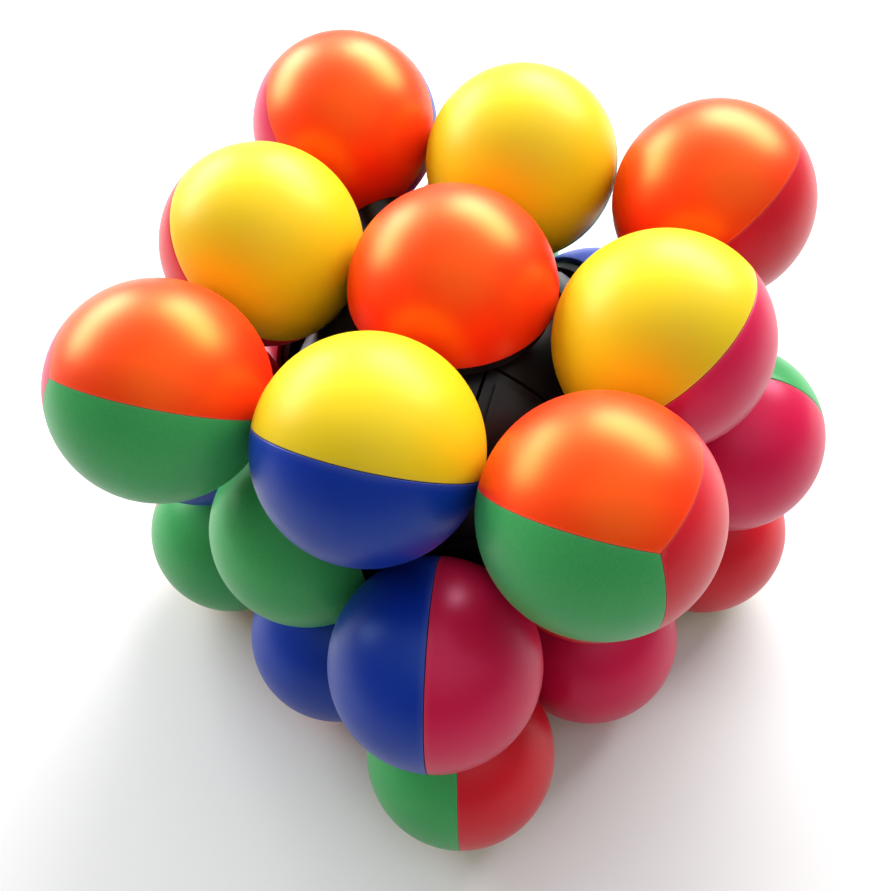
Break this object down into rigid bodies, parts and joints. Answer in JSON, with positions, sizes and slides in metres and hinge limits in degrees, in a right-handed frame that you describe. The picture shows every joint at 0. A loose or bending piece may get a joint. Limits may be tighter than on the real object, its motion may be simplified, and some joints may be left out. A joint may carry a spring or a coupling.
{
  "type": "ball twisty puzzle",
  "caption": "Cube-shaped turning puzzle made of two- and three-coloured balls on a black inner mechanism; its top and bottom layers turn about the vertical axis.",
  "frame": {"origin": "centre of the core, which is the centre of the whole puzzle", "axes": "+Z is the axis that the top and bottom layers turn about; +X and +Y are the axes of the middle layer's right and back centres; the top layer stands turned 29 degrees and the bottom layer 3.5 degrees from the middle layer"},
  "size_m": [0.0742, 0.0742, 0.0598],
  "materials": {
    "orange_shell": "satin-gloss moulded",
    "yellow_shell": "satin-gloss moulded",
    "green_shell": "satin-gloss moulded",
    "blue_shell": "satin-gloss moulded",
    "red_shell": "satin-gloss moulded",
    "pink_shell": "satin-gloss moulded",
    "black_plastic": "glossy moulded",
    "core_plastic": "moulded",
    "screw_steel": "zinc plated",
    "spring_steel": "drawn wire"
  },
  "bodies": {
    "middle_layer": {"dome_right": "red_shell", "dome_back": "blue_shell", "dome_left": "pink_shell", "dome_front": "green_shell", "middle_right_edge_shells": "pink_shell", "middle_back_edge_shells": "green_shell", "middle_left_edge_shells": "red_shell", "middle_front_edge_shells": "blue_shell", "edge_foot_back_right": "black_plastic", "edge_foot_back_left": "black_plastic", "edge_foot_front_left": "black_plastic", "edge_foot_front_right": "black_plastic", "centre_base_right": "black_plastic", "centre_base_back": "black_plastic", "centre_base_left": "black_plastic", "centre_base_front": "black_plastic", "core": "core_plastic", "screws": "screw_steel", "washers": "screw_steel", "springs": "spring_steel"},
    "top_layer": {"dome_top": "orange_shell", "top_corner_caps": "orange_shell", "top_edge_caps": "yellow_shell", "top_right_corner_shells": "red_shell", "top_right_edge_shell": "pink_shell", "top_back_corner_shells": "blue_shell", "top_back_edge_shell": "green_shell", "top_left_corner_shells": "pink_shell", "top_left_edge_shell": "red_shell", "top_front_corner_shells": "green_shell", "top_front_edge_shell": "blue_shell", "edge_foot_top_right": "black_plastic", "edge_foot_top_back": "black_plastic", "edge_foot_top_left": "black_plastic", "edge_foot_top_front": "black_plastic", "corner_foot_top_back_right": "black_plastic", "corner_foot_top_back_left": "black_plastic", "corner_foot_top_front_left": "black_plastic", "corner_foot_top_front_right": "black_plastic", "centre_base_top": "black_plastic"},
    "bottom_layer": {"dome_bottom": "yellow_shell", "bottom_corner_caps": "yellow_shell", "bottom_edge_caps": "orange_shell", "bottom_right_corner_shells": "red_shell", "bottom_right_edge_shell": "pink_shell", "bottom_back_corner_shells": "blue_shell", "bottom_back_edge_shell": "green_shell", "bottom_left_corner_shells": "pink_shell", "bottom_left_edge_shell": "red_shell", "bottom_front_corner_shells": "green_shell", "bottom_front_edge_shell": "blue_shell", "edge_foot_bottom_right": "black_plastic", "edge_foot_bottom_back": "black_plastic", "edge_foot_bottom_left": "black_plastic", "edge_foot_bottom_front": "black_plastic", "corner_foot_bottom_back_right": "black_plastic", "corner_foot_bottom_back_left": "black_plastic", "corner_foot_bottom_front_left": "black_plastic", "corner_foot_bottom_front_right": "black_plastic", "centre_base_bottom": "black_plastic"}
  },
  "joints": [
    {"name": "top_turn", "type": "hinge", "parent": "middle_layer", "child": "top_layer", "pos_m": [0, 0, 0], "axis": [0, 0, 1], "continuous": true},
    {"name": "bottom_turn", "type": "hinge", "parent": "middle_layer", "child": "bottom_layer", "pos_m": [0, 0, 0], "axis": [0, 0, 1], "continuous": true}
  ]
}
